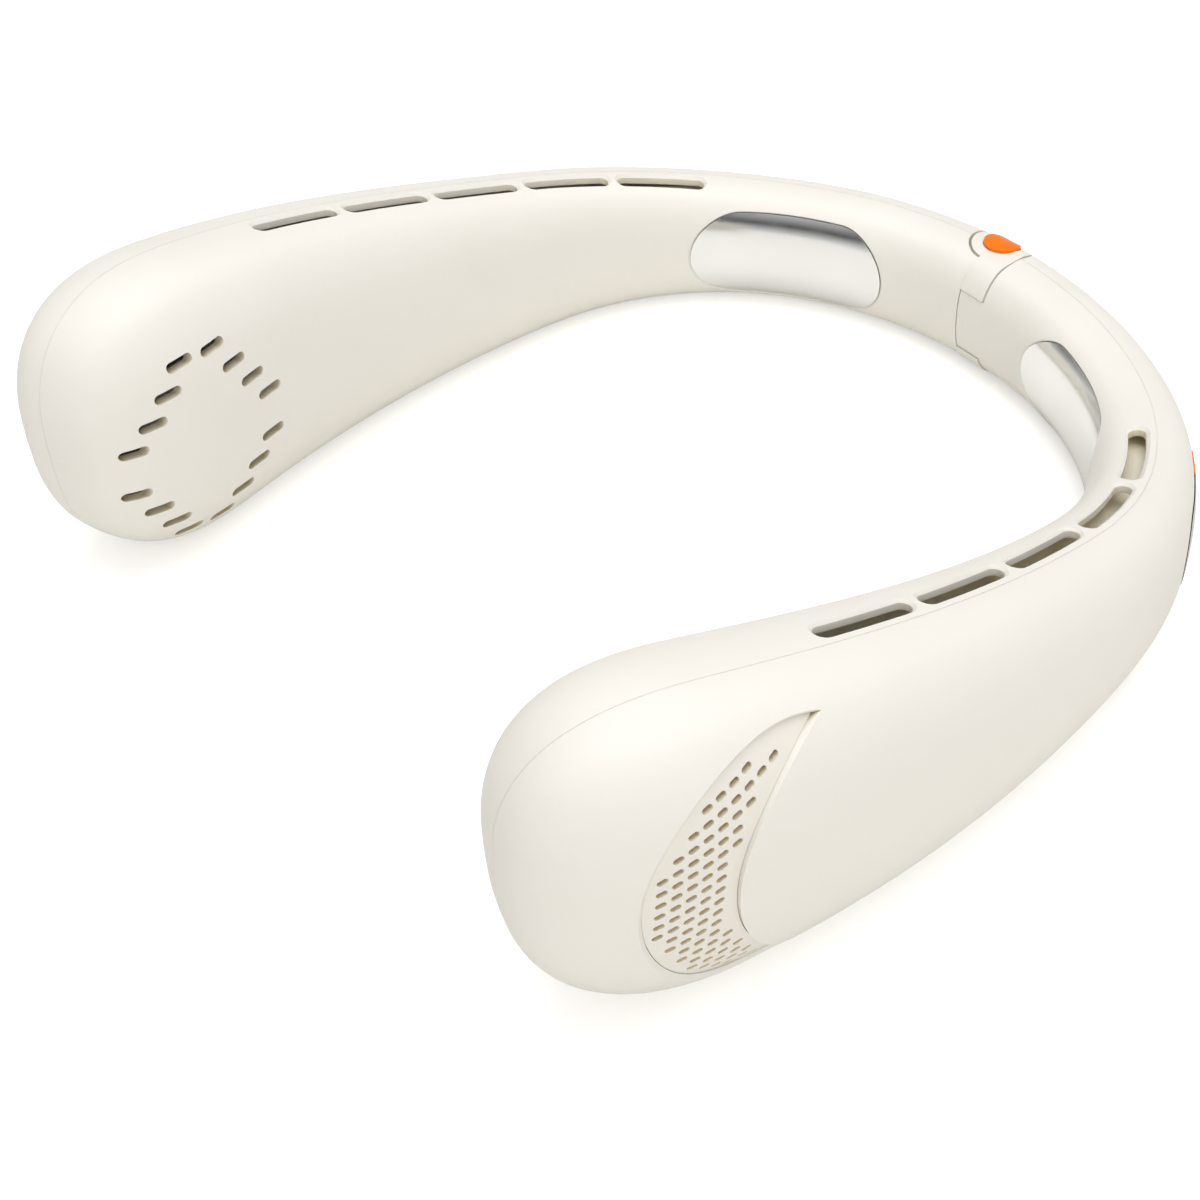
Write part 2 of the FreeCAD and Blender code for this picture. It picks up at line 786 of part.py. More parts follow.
pin_frame = Placement(hinge_axis + Vector(0, 0, cap_floor_bottom), Rotation())
hinge_pin = turned("hinge_pin", pin_frame, [
    ("0", "0"),
    ("pin_radius", "0"),
    ("pin_radius", "band_height - 2 * lug_height + 2 * cap_seat"),
    ("0", "band_height - 2 * lug_height + 2 * cap_seat"),
])
for label, floor in (("lower_hinge_washer", lug_bottom), ("upper_hinge_washer", barrel_high)):
    washer_frame = Placement(hinge_axis + Vector(0, 0, floor + size.washer_play), Rotation())
    ring(label, washer_frame, "pin_radius + pin_play", "washer_radius", "0", "washer_thickness")


# Intake grille, cooling plate and what is behind it


def grille_holes():
    """Staggered short slots inside the crescent's margin, each turned along its slanting row."""
    holes = []
    rows = int(size.crescent_radius / size.grille_row)
    columns = int(size.crescent_radius / size.grille_pitch) + 1
    margin = size.grille_margin + size.grille_hole_length / 2
    slant = math.degrees(math.atan2(size.grille_row, size.grille_pitch / 2)) - size.vent_lean
    for row in range(-rows, rows + 1):
        for column in range(-columns, columns + 1):
            x = (column + 0.5 * (row % 2)) * size.grille_pitch
            spot = crescent_middle + leaning(x, row * size.grille_row)
            inside_edge = spot.distanceToPoint(crescent_middle) < size.crescent_radius - margin
            if inside_edge and spot.distanceToPoint(shield_middle) > size.shield_radius + margin:
                hole = obround(size.grille_hole_length, size.grille_hole_width)
                hole.rotate(Vector(0, 0, 0), Vector(0, 1, 0), slant)
                hole.translate(spot)
                holes.append(outwards(hole, fan_frame))
    return Part.makeCompound(holes)


def intake_grille():
    first = size.fan_station - REACH
    face = loft(-size.grille_recess, first)
    back = loft(-size.grille_recess - size.grille_thickness, first)
    sheet_metal = face.cut(back).common(crescent(size.seat_gap))
    return sheet_metal.cut(grille_holes())


def cooling_plate():
    """Curved plate that follows the arm's neck side, with a flat pad on its back."""
    tool = inwards(obround(size.plate_length, size.plate_height), plate_frame)
    curved = loft(-size.plate_sink).cut(loft(-size.plate_sink - size.plate_thickness)).common(tool)
    low = (-size.module_length / 2, -REACH / 3, -size.module_height / 2)
    high = (size.module_length / 2, -size.module_back, size.module_height / 2)
    pad = placed(block(low, high), plate_frame).common(loft(-size.plate_sink - size.plate_thickness / 2))
    return curved.fuse(pad)


right_intake_grille = piece("right_intake_grille", intake_grille())
right_cooling_plate = piece("right_cooling_plate", cooling_plate())


def behind_plate(depth):
    """Frame on the cooling plate's axis, at a depth from the arm's middle line."""
    return frame_at(size.plate_station, depth, mid_height(size.plate_station))


def thermoelectric_module():
    """Two ceramic plates with the recessed row of pellets between them."""
    length = size.module_length / 2
    tall = size.module_height / 2
    lip = size.module_lip
    ceramic = size.ceramic_thickness
    thick = size.module_thickness
    cold = block((-length, 0, -tall), (length, ceramic, tall))
    warm = block((-length, thick - ceramic, -tall), (length, thick, tall))
    pellets = block((lip - length, ceramic, lip - tall), (length - lip, thick - ceramic, tall - lip))
    return placed(cold.fuse([warm, pellets]), behind_plate(-size.module_back))


right_thermoelectric_module = piece("right_thermoelectric_module", thermoelectric_module())


def comb_corners():
    """Corners of the heat sink's section: a base with a row of fins, in depth and height."""
    count = int(size.fin_count)
    corners = [("0", "-module_height / 2"), ("sink_depth", "-module_height / 2")]
    for k in range(count):
        edge = "%d * (module_height - fin_thickness) / %d - module_height / 2" % (k, count - 1)
        if k > 0:
            corners += [("sink_base", edge), ("sink_depth", edge)]
        corners.append(("sink_depth", edge + " + fin_thickness"))
        if k < count - 1:
            corners.append(("sink_base", edge + " + fin_thickness"))
    corners.append(("0", "module_height / 2"))
    return corners


right_heat_sink = padded(
    "right_heat_sink",
    behind_plate(size.module_thickness - size.module_back),
    "YZ_Plane",
    comb_corners(),
    "sink_length",
)


# Fan: housing, motor and impeller, all on one axis in the bulb

scroll_outer = "scroll_radius + scroll_wall"
right_fan_housing = turned("right_fan_housing", fan_axle, [
    ("0", "0"),
    (scroll_outer, "0"),
    (scroll_outer, "scroll_height"),
    ("scroll_radius", "scroll_height"),
    ("scroll_radius", "base_thickness"),
    ("tube_radius", "base_thickness"),
    ("tube_radius", "tube_height"),
    ("bush_radius", "tube_height"),
    ("bush_radius", "bush_floor"),
    ("0", "bush_floor"),
])


def pocket(body, name, role, corners, length):
    """Cut of one outline, to both sides of its plane."""
    cut = body.newObject("PartDesign::Pocket", name)
    cut.Profile = outline(body, role, corners)
    cut.SideType = "Symmetric"
    cut.setExpression("Length", expression(length))
    body.Tip = cut
    return cut


window_slope = math.tan(math.pi / size.spoke_count)
window = [
    ("base_radius", "base_radius * %.6f - spoke_width / 2" % window_slope),
    ("base_radius", "spoke_width / 2 - base_radius * %.6f" % window_slope),
    ("window_outer", "spoke_width / 2 - window_outer * %.6f" % window_slope),
    ("window_tip", "0"),
    ("window_outer", "window_outer * %.6f - spoke_width / 2" % window_slope),
]
windows = pocket(right_fan_housing, "intake_window", "XY_Plane", window, "4 * base_thickness")
doc.recompute()
patterned(right_fan_housing, windows, "spoke_count")
pocket(right_fan_housing, "scroll_outlet", "YZ_Plane", [
    ("-outlet_half", "base_thickness"),
    ("outlet_half", "base_thickness"),
    ("outlet_half", "scroll_height + 1"),
    ("-outlet_half", "scroll_height + 1"),
], "4 * scroll_radius")

right_motor_board = ring(
    "right_motor_board", fan_axle, "tube_radius + pin_play", "board_radius",
    "base_thickness", "base_thickness + board_thickness",
)
right_motor_bush = ring(
    "right_motor_bush", fan_axle, "shaft_radius + shaft_play", "bush_radius - shaft_play",
    "bush_floor", "tube_height",
)
right_motor_stator = ring(
    "right_motor_stator", fan_axle, "tube_radius + pin_play", "tube_radius + stator_yoke",
    "stator_start", "stator_start + stator_height",
)
tooth = right_motor_stator.newObject("PartDesign::Pad", "stator_tooth")
tooth.Profile = outline(right_motor_stator, "XZ_Plane", [
    ("tube_radius + stator_yoke / 2", "stator_start"),
    ("stator_radius", "stator_start"),
    ("stator_radius", "stator_start + stator_height"),
    ("tube_radius + stator_yoke / 2", "stator_start + stator_height"),
])
tooth.SideType = "Symmetric"
tooth.setExpression("Length", expression("tooth_width"))
doc.recompute()
patterned(right_motor_stator, tooth, "tooth_count")

magnet_inner = "stator_radius + magnet_gap"
magnet_outer = magnet_inner + " + magnet_thickness"
cup_outer = magnet_outer + " + shaft_play + cup_wall"
cup_top = "cup_start + cup_height"
right_motor_shaft = turned("right_motor_shaft", fan_axle, [
    ("0", "bush_floor + pin_play"),
    ("shaft_radius", "bush_floor + pin_play"),
    ("shaft_radius", cup_top + " + hub_thickness"),
    ("0", cup_top + " + hub_thickness"),
])
right_rotor_cup = turned("right_rotor_cup", fan_axle, [
    ("shaft_radius + shaft_play", cup_top),
    ("shaft_radius + shaft_play", cup_top + " - cup_wall"),
    (magnet_outer + " + shaft_play", cup_top + " - cup_wall"),
    (magnet_outer + " + shaft_play", "cup_start"),
    (cup_outer, "cup_start"),
    (cup_outer, cup_top),
])
right_rotor_magnet = ring(
    "right_rotor_magnet", fan_axle, magnet_inner, magnet_outer, "cup_start", cup_top + " - cup_wall - shaft_play"
)


def spun(corners):
    """Solid of revolution about the z axis from radius and height pairs."""
    points = [Vector(radius, 0, height) for radius, height in corners]
    face = Part.Face(Part.makePolygon(points + points[:1]))
    return face.revolve(Vector(0, 0, 0), Vector(0, 0, 1), 360)


def on_circle(radius, degrees):
    return Vector(math.cos(math.radians(degrees)), math.sin(math.radians(degrees)), 0) * radius


def blade():
    """Thin forward-curved blade between two arcs."""
    inner = size.blade_inner
    outer = size.impeller_radius - size.shaft_play
    middle = (inner + outer) / 2
    thick = math.degrees(size.blade_thickness / middle)
    bow = size.blade_lean / 4
    faces = []
    for turn in (0.0, thick):
        faces.append([on_circle(inner, turn), on_circle(middle, turn + bow), on_circle(outer, turn + size.blade_lean)])
    front_face, back_face = faces
    edges = [
        Part.Arc(*front_face),
        Part.LineSegment(front_face[2], back_face[2]),
        Part.Arc(*reversed(back_face)),
        Part.LineSegment(back_face[0], front_face[0]),
    ]
    profile = Part.Face(Part.Wire([edge.toShape() for edge in edges]))
    profile.translate(Vector(0, 0, size.blade_start))
    return profile.extrude(Vector(0, 0, size.blade_height))


def impeller():
    """Hub disc with a skirt round the rotor cup, a ring of blades and a rim at each end of them."""
    cup_radius = size.stator_radius + size.magnet_gap + size.magnet_thickness + size.cup_wall
    bore = cup_radius + size.shaft_play + size.pin_play
    disc_low = size.cup_start + size.cup_height
    disc_high = disc_low + size.hub_thickness
    hub = spun([
        (size.shaft_radius + size.shaft_play, disc_low),
        (bore, disc_low),
        (bore, disc_low - size.skirt_height),
        (bore + size.skirt_wall, disc_low - size.skirt_height),
        (bore + size.skirt_wall, disc_low),
        (size.impeller_radius, disc_low),
        (size.impeller_radius, disc_high),
        (size.shaft_radius + size.shaft_play, disc_high),
    ])
    solids = []
    blade_end = size.blade_start + size.blade_height
    for low in (size.blade_start, blade_end - size.rim_height):
        inner = size.impeller_radius - size.rim_width
        outer = size.impeller_radius
        high = low + size.rim_height
        solids.append(spun([(inner, low), (outer, low), (outer, high), (inner, high)]))
    for k in range(int(size.blade_count)):
        copy = blade()
        copy.rotate(Vector(0, 0, 0), Vector(0, 0, 1), 360 * k / size.blade_count)
        solids.append(copy)
    return hub.fuse(solids).removeSplitter()


right_impeller = piece("right_impeller", placed(impeller(), fan_axle))


def motor_screws():
    """Pan-head screws that hold the motor base on its boss."""
    floor = size.base_thickness
    screw = spun([
        (0, floor - size.screw_length),
        (size.screw_radius, floor - size.screw_length),
        (size.screw_radius, floor),
        (size.head_radius, floor),
        (size.head_radius, floor + size.head_height),
        (0, floor + size.head_height),
    ])
    return Part.makeCompound([placed(screw, fan_axle.multiply(Placement(spot, Rotation()))) for spot in screw_spots()])


for number, spot in enumerate(screw_spots(), 1):
    hole = right_fan_housing.newObject("PartDesign::SubtractiveCylinder", "screw_hole_%d" % number)
    hole.setExpression("Radius", expression("screw_radius + shaft_play"))
    hole.setExpression("Height", expression("base_thickness"))
    hole.Placement = Placement(spot, Rotation())
    right_fan_housing.Tip = hole
right_motor_screws = piece("right_motor_screws", motor_screws())


# Battery, controls and charging socket

right_battery = oblong("right_battery", battery_frame, "battery_length", "battery_thickness", "battery_height")
doc.recompute()
battery_pad = right_battery.Tip
long_edges = []
for index, edge in enumerate(battery_pad.Shape.Edges, 1):
    if abs(edge.tangentAt(edge.FirstParameter).x) > 0.99:
        long_edges.append("Edge%d" % index)
battery_round = right_battery.newObject("PartDesign::Fillet", "battery_edges")
battery_round.Base = (battery_pad, long_edges)
battery_round.setExpression("Radius", expression("battery_round"))
right_battery.Tip = battery_round

button_start = -size.panel_length / 2
button_end = button_start + size.button_length
lens_start = button_end + size.panel_gap


def above(depth):
    """Everything further out than a flat plane behind the panel."""
    return placed(block((-REACH, depth, -REACH), (REACH, REACH, REACH)), panel_frame)


def power_button():
    """Round-ended button with a flange behind the shell's wall."""
    proud = loft(size.panel_proud)
    prism = panel_outline(0.0, button_start, button_end)
    cap = prism.common(proud).common(above(size.button_back))
    cap = cap.makeChamfer(size.trim_bevel, edges_on(cap, prism, proud))
    flange = panel_outline(size.flange_reach, -size.panel_length, button_end)
    shelf = above(size.button_back - size.button_flange).cut(above(size.button_back))
    return cap.fuse(flange.common(shelf))


def display_lens():
    """Curved black window that follows the arm's outer skin."""
    face = loft(size.panel_proud)
    back = loft(size.panel_proud - size.lens_thickness)
    prism = panel_outline(0.0, lens_start, size.panel_length)
    lens = prism.common(face.cut(back))
    return lens.makeChamfer(size.trim_bevel, edges_on(lens, prism, face))


power_button_piece = piece("power_button", power_button())
display_lens_piece = piece("display_lens", display_lens())


def on_panel(along, depth):
    return panel_frame.multiply(Placement(Vector(along, depth, 0), Rotation()))


control_board = oblong(
    "control_board",
    on_panel(0.0, board_face - size.control_thickness / 2),
    "control_length", "control_thickness", "control_height",
)
display_along = (lens_start + size.panel_length / 2) / 2
display_module = oblong(
    "display_module",
    on_panel(display_along, board_face + size.display_depth / 2),
    "display_length", "display_depth", "display_height",
)
switch_along = (button_start + button_end) / 2


def push_switch():
    """Low switch with a round plunger under the button."""
    half = size.switch_side / 2
    case = block((-half, 0, -half), (half, size.switch_height, half))
    plunger = Part.makeCylinder(
        size.plunger_radius, size.switch_height + size.plunger_height, Vector(0, 0, 0), Vector(0, 1, 0)
    )
    return placed(case.fuse(plunger), on_panel(switch_along, board_face))


push_switch_piece = piece("push_switch", push_switch())


def charging_socket():
    """Thin obround sleeve with a tongue on its closed back."""
    depth = size.socket_depth
    wall = size.socket_wall
    sleeve = upright_obround(size.socket_length, size.socket_width, 0, depth)
    hollow = upright_obround(
        size.socket_length - 2 * wall, size.socket_width - 2 * wall, -1, depth - size.tongue_back
    )
    half = size.tongue_length / 2
    thin = size.tongue_width / 2
    tongue = block((-half, -thin, size.tongue_back), (half, thin, depth))
    return placed(sleeve.cut(hollow).fuse(tongue), socket_frame())


charging_socket_piece = piece("charging_socket", charging_socket())


# The left arm mirrors the pieces that both arms have

for source in list(parts):
    both_sided = source.Label.startswith("right_") and not source.Label.endswith(("_shell", "_barrel"))
    if both_sided:
        left_copy(source, source.Label.replace("right_", "left_"))

doc.recompute()

# Every object has to be sound before anything is written

for item in doc.Objects:
    if "Invalid" in item.State or "Error" in item.State:
        raise RuntimeError("failed object: " + item.Label)
for part in parts:
    if part.Shape.isNull() or not part.Shape.isValid() or not part.Shape.Solids:
        raise RuntimeError("bad shape: " + part.Label)

os.makedirs("parts", exist_ok=True)
for part in parts:
    part.Shape.exportStep(os.path.join("parts", part.Label + ".step"))
    print("%-30s solids %d volume %.0f" % (part.Label, len(part.Shape.Solids), part.Shape.Volume))
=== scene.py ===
import json
import math

import bmesh
import bpy
from mathutils import Matrix, Vector
from mathutils.bvhtree import BVHTree


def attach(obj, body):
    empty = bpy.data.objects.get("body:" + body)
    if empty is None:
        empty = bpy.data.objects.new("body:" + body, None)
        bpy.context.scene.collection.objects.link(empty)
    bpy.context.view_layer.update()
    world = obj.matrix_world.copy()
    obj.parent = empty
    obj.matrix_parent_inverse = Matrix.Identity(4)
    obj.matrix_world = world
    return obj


# Electric neck fan on a white table. Metres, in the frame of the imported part.

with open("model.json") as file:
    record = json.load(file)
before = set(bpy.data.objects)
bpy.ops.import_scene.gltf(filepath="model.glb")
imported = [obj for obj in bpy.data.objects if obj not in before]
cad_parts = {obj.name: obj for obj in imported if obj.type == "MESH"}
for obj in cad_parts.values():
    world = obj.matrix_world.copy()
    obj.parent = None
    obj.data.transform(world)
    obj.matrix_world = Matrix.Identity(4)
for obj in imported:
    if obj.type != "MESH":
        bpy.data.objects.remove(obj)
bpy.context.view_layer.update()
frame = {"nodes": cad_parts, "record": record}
nodes = frame["nodes"]

# Camera, as it stood for the photograph: an orbit about the middle of the hinge's seam
ORBIT_CENTRE = Vector((0.0, 0.084846, 0.0))
CAMERA_AZIMUTH = math.radians(53.2201)
CAMERA_ELEVATION = math.radians(42.3925)
CAMERA_ROLL = math.radians(-4.2084)
CAMERA_DISTANCE = 0.4397302
CAMERA_SIDEWAYS = -0.0810042
CAMERA_UPWARDS = -0.0522432
FIELD_OF_VIEW = math.radians(32.1672)
NEAR_CLIP = 0.01

# Edges sharper than this stay sharp when the curved faces are smoothed
SHARP_ANGLE = math.radians(24.0)
WELD_DISTANCE = 0.000002

# Most of a noise lies between these values, and a finish runs from its first to its second tone over them
NOISE_LOW = 0.3
NOISE_HIGH = 0.7

# Moulded plastic: patches of gloss in one patch of tone, and how far the roughness strays
GLOSS_PATCHES = 6
SMOOTHER = 0.04
ROUGHER = 0.05
GRAIN_DETAIL = 3.0

# Polished metal: width of its tones and of the wiping marks in its gloss
METAL_PATCH = 0.02
WIPE_WIDTH = 0.004
WIPE_DETAIL = 4.0
WIPE_LIMITS = (0.9, 1.1)

# Glossy plastic: slow waves instead of grain, a weak mirror below and a clear skin above
GLOSS_PATCH = 0.012
WAVE_WIDTH = 0.0012
WAVE_DEPTH = 0.000002
GLOSS_MIRROR = 0.25
CLEAR_SKIN_ROUGHNESS = 0.06

# Outer plastic: light spreads below the skin of its openings, and the openings are painted darker with
# shade. An opening is where the surface within reach leaves less of the sky free than the skin has.
NOOK_REACH = 0.005
NOOK_SAMPLES = 8
NOOK_OPENS = 0.50
SKIN_OPEN = 0.85
SPREAD_IN_NOOK = 0.90
SPREAD_ON_SKIN = 0.05
SPREAD_COLOURS = (1.0, 1.0, 1.0)
SPREAD_DEPTH = 0.0020

# Along Y, where the painted shade of the bulb's intake slots gives way to that of the arm's outlet slots
BULB_ENDS = -0.050
ARM_STARTS = -0.044


def finish_material(name, roughness, metallic=0.0):
    """New material with its principled shader."""
    material = bpy.data.materials.new(name)
    material.use_nodes = True
    shader = material.node_tree.nodes["Principled BSDF"]
    shader.inputs["Roughness"].default_value = roughness
    shader.inputs["Metallic"].default_value = metallic
    return material, shader


def surface_noise(tree, size, detail=2.0):
    """Noise on the piece itself, whose patches are about size metres wide."""
    place = tree.nodes.new("ShaderNodeTexCoord")
    noise = tree.nodes.new("ShaderNodeTexNoise")
    noise.inputs["Scale"].default_value = 1.0 / size
    noise.inputs["Detail"].default_value = detail
    tree.links.new(place.outputs["Object"], noise.inputs["Vector"])
    return noise.outputs["Fac"]


def ranged(tree, value, start, end, low=0.0, high=1.0):
    """Value from low to high while another goes from start to end."""
    limits = tree.nodes.new("ShaderNodeMapRange")
    limits.inputs["From Min"].default_value = start
    limits.inputs["From Max"].default_value = end
    limits.inputs["To Min"].default_value = low
    limits.inputs["To Max"].default_value = high
    tree.links.new(value, limits.inputs["Value"])
    return limits.outputs["Result"]


def ramp(tree, value, stops):
    """Colour that goes through the given tones as a value rises."""
    tones = tree.nodes.new("ShaderNodeValToRGB")
    elements = tones.color_ramp.elements
    while len(elements) < len(stops):
        elements.new(1.0)
    for element, (place, tone) in zip(elements, stops):
        element.position = place
        element.color = (*tone, 1.0)
    tree.links.new(value, tones.inputs["Fac"])
    return tones.outputs["Color"]


def two_tone(tree, patch, first, second):
    """Colour that drifts between two close tones, in patches of the given width."""
    return ramp(tree, surface_noise(tree, patch), ((NOISE_LOW, first), (NOISE_HIGH, second)))


def uneven_gloss(tree, noise, low, high):
    """Roughness that follows a noise between two limits."""
    return ranged(tree, noise, NOISE_LOW, NOISE_HIGH, low, high)


def grain(tree, shader, size, depth):
    """Fine moulded grain, depth metres deep."""
    bump = tree.nodes.new("ShaderNodeBump")
    bump.inputs["Strength"].default_value = 1.0
    bump.inputs["Distance"].default_value = depth
    tree.links.new(surface_noise(tree, size, GRAIN_DETAIL), bump.inputs["Height"])
    tree.links.new(bump.outputs["Normal"], shader.inputs["Normal"])


def moulded(name, first, second, roughness, patch=0.03, grain_size=0.00035, grain_depth=0.000004):
    """Injection-moulded plastic: two close tones, a fine spark-eroded grain and uneven gloss."""
    material, shader = finish_material(name, roughness)
    tree = material.node_tree
    tree.links.new(two_tone(tree, patch, first, second), shader.inputs["Base Color"])
    noise = surface_noise(tree, patch / GLOSS_PATCHES)
    gloss = uneven_gloss(tree, noise, roughness - SMOOTHER, roughness + ROUGHER)
    tree.links.new(gloss, shader.inputs["Roughness"])
    grain(tree, shader, grain_size, grain_depth)
    return material


def mixed(tree, factor, first, second):
    """Two colours mixed by a linked factor."""
    mix = tree.nodes.new("ShaderNodeMix")
    mix.data_type = "RGBA"
    tree.links.new(factor, mix.inputs["Factor"])
    tree.links.new(first, mix.inputs["A"])
    tree.links.new(second, mix.inputs["B"])
    return mix.outputs["Result"]


def tinted(tree, colour, tint):
    """Colour multiplied by another."""
    mix = tree.nodes.new("ShaderNodeMix")
    mix.data_type = "RGBA"
    mix.blend_type = "MULTIPLY"
    mix.inputs["Factor"].default_value = 1.0
    tree.links.new(colour, mix.inputs["A"])
    tree.links.new(tint, mix.inputs["B"])
    return mix.outputs["Result"]


def share_of_arm(tree):
    """Zero on the bulb, one on the arm behind it."""
    place = tree.nodes.new("ShaderNodeTexCoord")
    axes = tree.nodes.new("ShaderNodeSeparateXYZ")
    tree.links.new(place.outputs["Object"], axes.inputs["Vector"])
    return ranged(tree, axes.outputs["Y"], BULB_ENDS, ARM_STARTS)


def skin_plastic_with_painted_shade(name, first, second, bulb_painted_shade, arm_painted_shade, roughness):
    """Moulded outer plastic, whose narrow openings are painted darker with shade and let light spread below
    the skin.
    """
    material = moulded(name, first, second, roughness)
    tree = material.node_tree
    shader = tree.nodes["Principled BSDF"]
    skin = shader.inputs["Base Color"].links[0].from_socket
    # Painted shade: local occlusion multiplies the base colour darker in the openings, in the bulb's tones
    # or the arm's.
    nook = tree.nodes.new("ShaderNodeAmbientOcclusion")
    nook.only_local = True
    nook.samples = NOOK_SAMPLES
    nook.inputs["Distance"].default_value = NOOK_REACH
    openness = nook.outputs["AO"]
    shade_on_bulb = ramp(tree, openness, bulb_painted_shade)
    shade_on_arm = ramp(tree, openness, arm_painted_shade)
    tone = mixed(tree, share_of_arm(tree), shade_on_bulb, shade_on_arm)
    tree.links.new(tinted(tree, skin, tone), shader.inputs["Base Color"])
    spread = ranged(tree, openness, NOOK_OPENS, SKIN_OPEN, SPREAD_IN_NOOK, SPREAD_ON_SKIN)
    tree.links.new(spread, shader.inputs["Subsurface Weight"])
    shader.inputs["Subsurface Radius"].default_value = SPREAD_COLOURS
    shader.inputs["Subsurface Scale"].default_value = SPREAD_DEPTH
    return material


def polished_metal(name, first, second, roughness):
    """Polished metal with faint wiping marks in its gloss."""
    material, shader = finish_material(name, roughness, 1.0)
    tree = material.node_tree
    tree.links.new(two_tone(tree, METAL_PATCH, first, second), shader.inputs["Base Color"])
    noise = surface_noise(tree, WIPE_WIDTH, WIPE_DETAIL)
    low, high = (roughness * limit for limit in WIPE_LIMITS)
    tree.links.new(uneven_gloss(tree, noise, low, high), shader.inputs["Roughness"])
    return material


def gloss_plastic(name, first, second, roughness, clear_skin):
    """Glossy plastic with slow waves in its surface and, where it has one, a clear skin."""
    material = moulded(name, first, second, roughness, GLOSS_PATCH, WAVE_WIDTH, WAVE_DEPTH)
    shader = material.node_tree.nodes["Principled BSDF"]
    shader.inputs["Specular IOR Level"].default_value = GLOSS_MIRROR
    shader.inputs["Coat Weight"].default_value = clear_skin
    shader.inputs["Coat Roughness"].default_value = CLEAR_SKIN_ROUGHNESS
    return material


# Tones of the plastics, and the painted shade that multiplies them in an opening, from its depth up to the
# open skin
SHELL_TONES = ((0.835, 0.802, 0.738), (0.855, 0.824, 0.762))
GRILLE_TONES = ((0.825, 0.785, 0.710), (0.845, 0.805, 0.732))
OPEN_SKIN = (0.75, (1.0, 1.0, 1.0))
INTAKE_PAINTED_SHADE = ((0.08, (0.22, 0.19, 0.11)), (0.40, (0.62, 0.55, 0.36)), OPEN_SKIN)
OUTLET_PAINTED_SHADE = ((0.05, (1.00, 0.90, 0.60)), (0.40, (0.98, 0.93, 0.76)), OPEN_SKIN)
GRILLE_PAINTED_SHADE = ((0.08, (0.50, 0.40, 0.26)), (0.40, (0.86, 0.76, 0.58)), OPEN_SKIN)

# Finish of each material slot: its name, its two tones, for the outer plastics their painted shade, and its
# roughness
FINISHES = {
    "shell": skin_plastic_with_painted_shade("warm_white_plastic", *SHELL_TONES, INTAKE_PAINTED_SHADE, OUTLET_PAINTED_SHADE, 0.42),
    "grille": skin_plastic_with_painted_shade("warm_white_grille", *GRILLE_TONES, GRILLE_PAINTED_SHADE, GRILLE_PAINTED_SHADE, 0.45),
    "hinge_plastic": skin_plastic_with_painted_shade("warm_white_hinge", *SHELL_TONES, INTAKE_PAINTED_SHADE, OUTLET_PAINTED_SHADE, 0.40),
    "cooling_plate": polished_metal("polished_plate", (0.80, 0.80, 0.785), (0.84, 0.84, 0.825), 0.20),
    "heat_sink": polished_metal("extruded_aluminium", (0.60, 0.61, 0.62), (0.68, 0.69, 0.70), 0.34),
    "steel": polished_metal("plain_steel", (0.50, 0.50, 0.50), (0.58, 0.58, 0.58), 0.26),
    "socket": polished_metal("drawn_steel", (0.48, 0.48, 0.49), (0.56, 0.56, 0.57), 0.24),
    "bush": polished_metal("sintered_bronze", (0.48, 0.30, 0.13), (0.56, 0.37, 0.18), 0.40),
    "stator": polished_metal("copper_windings", (0.52, 0.20, 0.08), (0.62, 0.27, 0.12), 0.34),
    "ceramic": moulded("white_ceramic", (0.80, 0.80, 0.78), (0.86, 0.86, 0.84), 0.30),
    "inner_plastic": moulded("inner_plastic", (0.46, 0.45, 0.40), (0.52, 0.50, 0.45), 0.50),
    "impeller": moulded("impeller_plastic", (0.58, 0.56, 0.50), (0.64, 0.62, 0.56), 0.42),
    "circuit_board": moulded("green_board", (0.010, 0.085, 0.040), (0.016, 0.115, 0.055), 0.35),
    "magnet": moulded("bonded_ferrite", (0.020, 0.020, 0.021), (0.034, 0.034, 0.036), 0.60),
    "battery_wrap": moulded("battery_wrap", (0.025, 0.105, 0.320), (0.035, 0.130, 0.380), 0.28),
    "orange_trim": gloss_plastic("orange_plastic", (0.880, 0.175, 0.001), (0.930, 0.200, 0.002), 0.42, 0.0),
    "black_window": gloss_plastic("black_window", (0.004, 0.004, 0.005), (0.008, 0.008, 0.009), 0.12, 0.25),
    "switch": moulded("black_switch", (0.010, 0.010, 0.011), (0.018, 0.018, 0.020), 0.45),
}


def smooth_curved_faces(node):
    """Joins the loose triangles of a node for shading, and keeps its real edges sharp."""
    for face in node.data.polygons:
        face.use_smooth = True
    weld = node.modifiers.new("weld", "WELD")
    weld.merge_threshold = WELD_DISTANCE
    split = node.modifiers.new("sharp_edges", "EDGE_SPLIT")
    split.split_angle = SHARP_ANGLE


slot_of = {entry["node"]: entry["material_slot"] for entry in frame["record"]["subparts"]}
for name, node in nodes.items():
    node.data.materials.clear()
    node.data.materials.append(FINISHES[slot_of[name]])
    smooth_curved_faces(node)


# Lap joint of each arm: a tongue on the outer shell fills the parting gap, just below the skin

PARTING_REACH = 0.0002
STRAIGHT_AT = 0.9
TONGUE_SUNK = 0.00006
TONGUE_THICKNESS = 0.00011


def meets(face, shell):
    """Whether a face looks straight at a shell across the parting gap."""
    middle = face.calc_center_median()
    spot, _, _, gap = shell.find_nearest(middle)
    return gap < PARTING_REACH and (spot - middle).dot(face.normal) > STRAIGHT_AT * gap


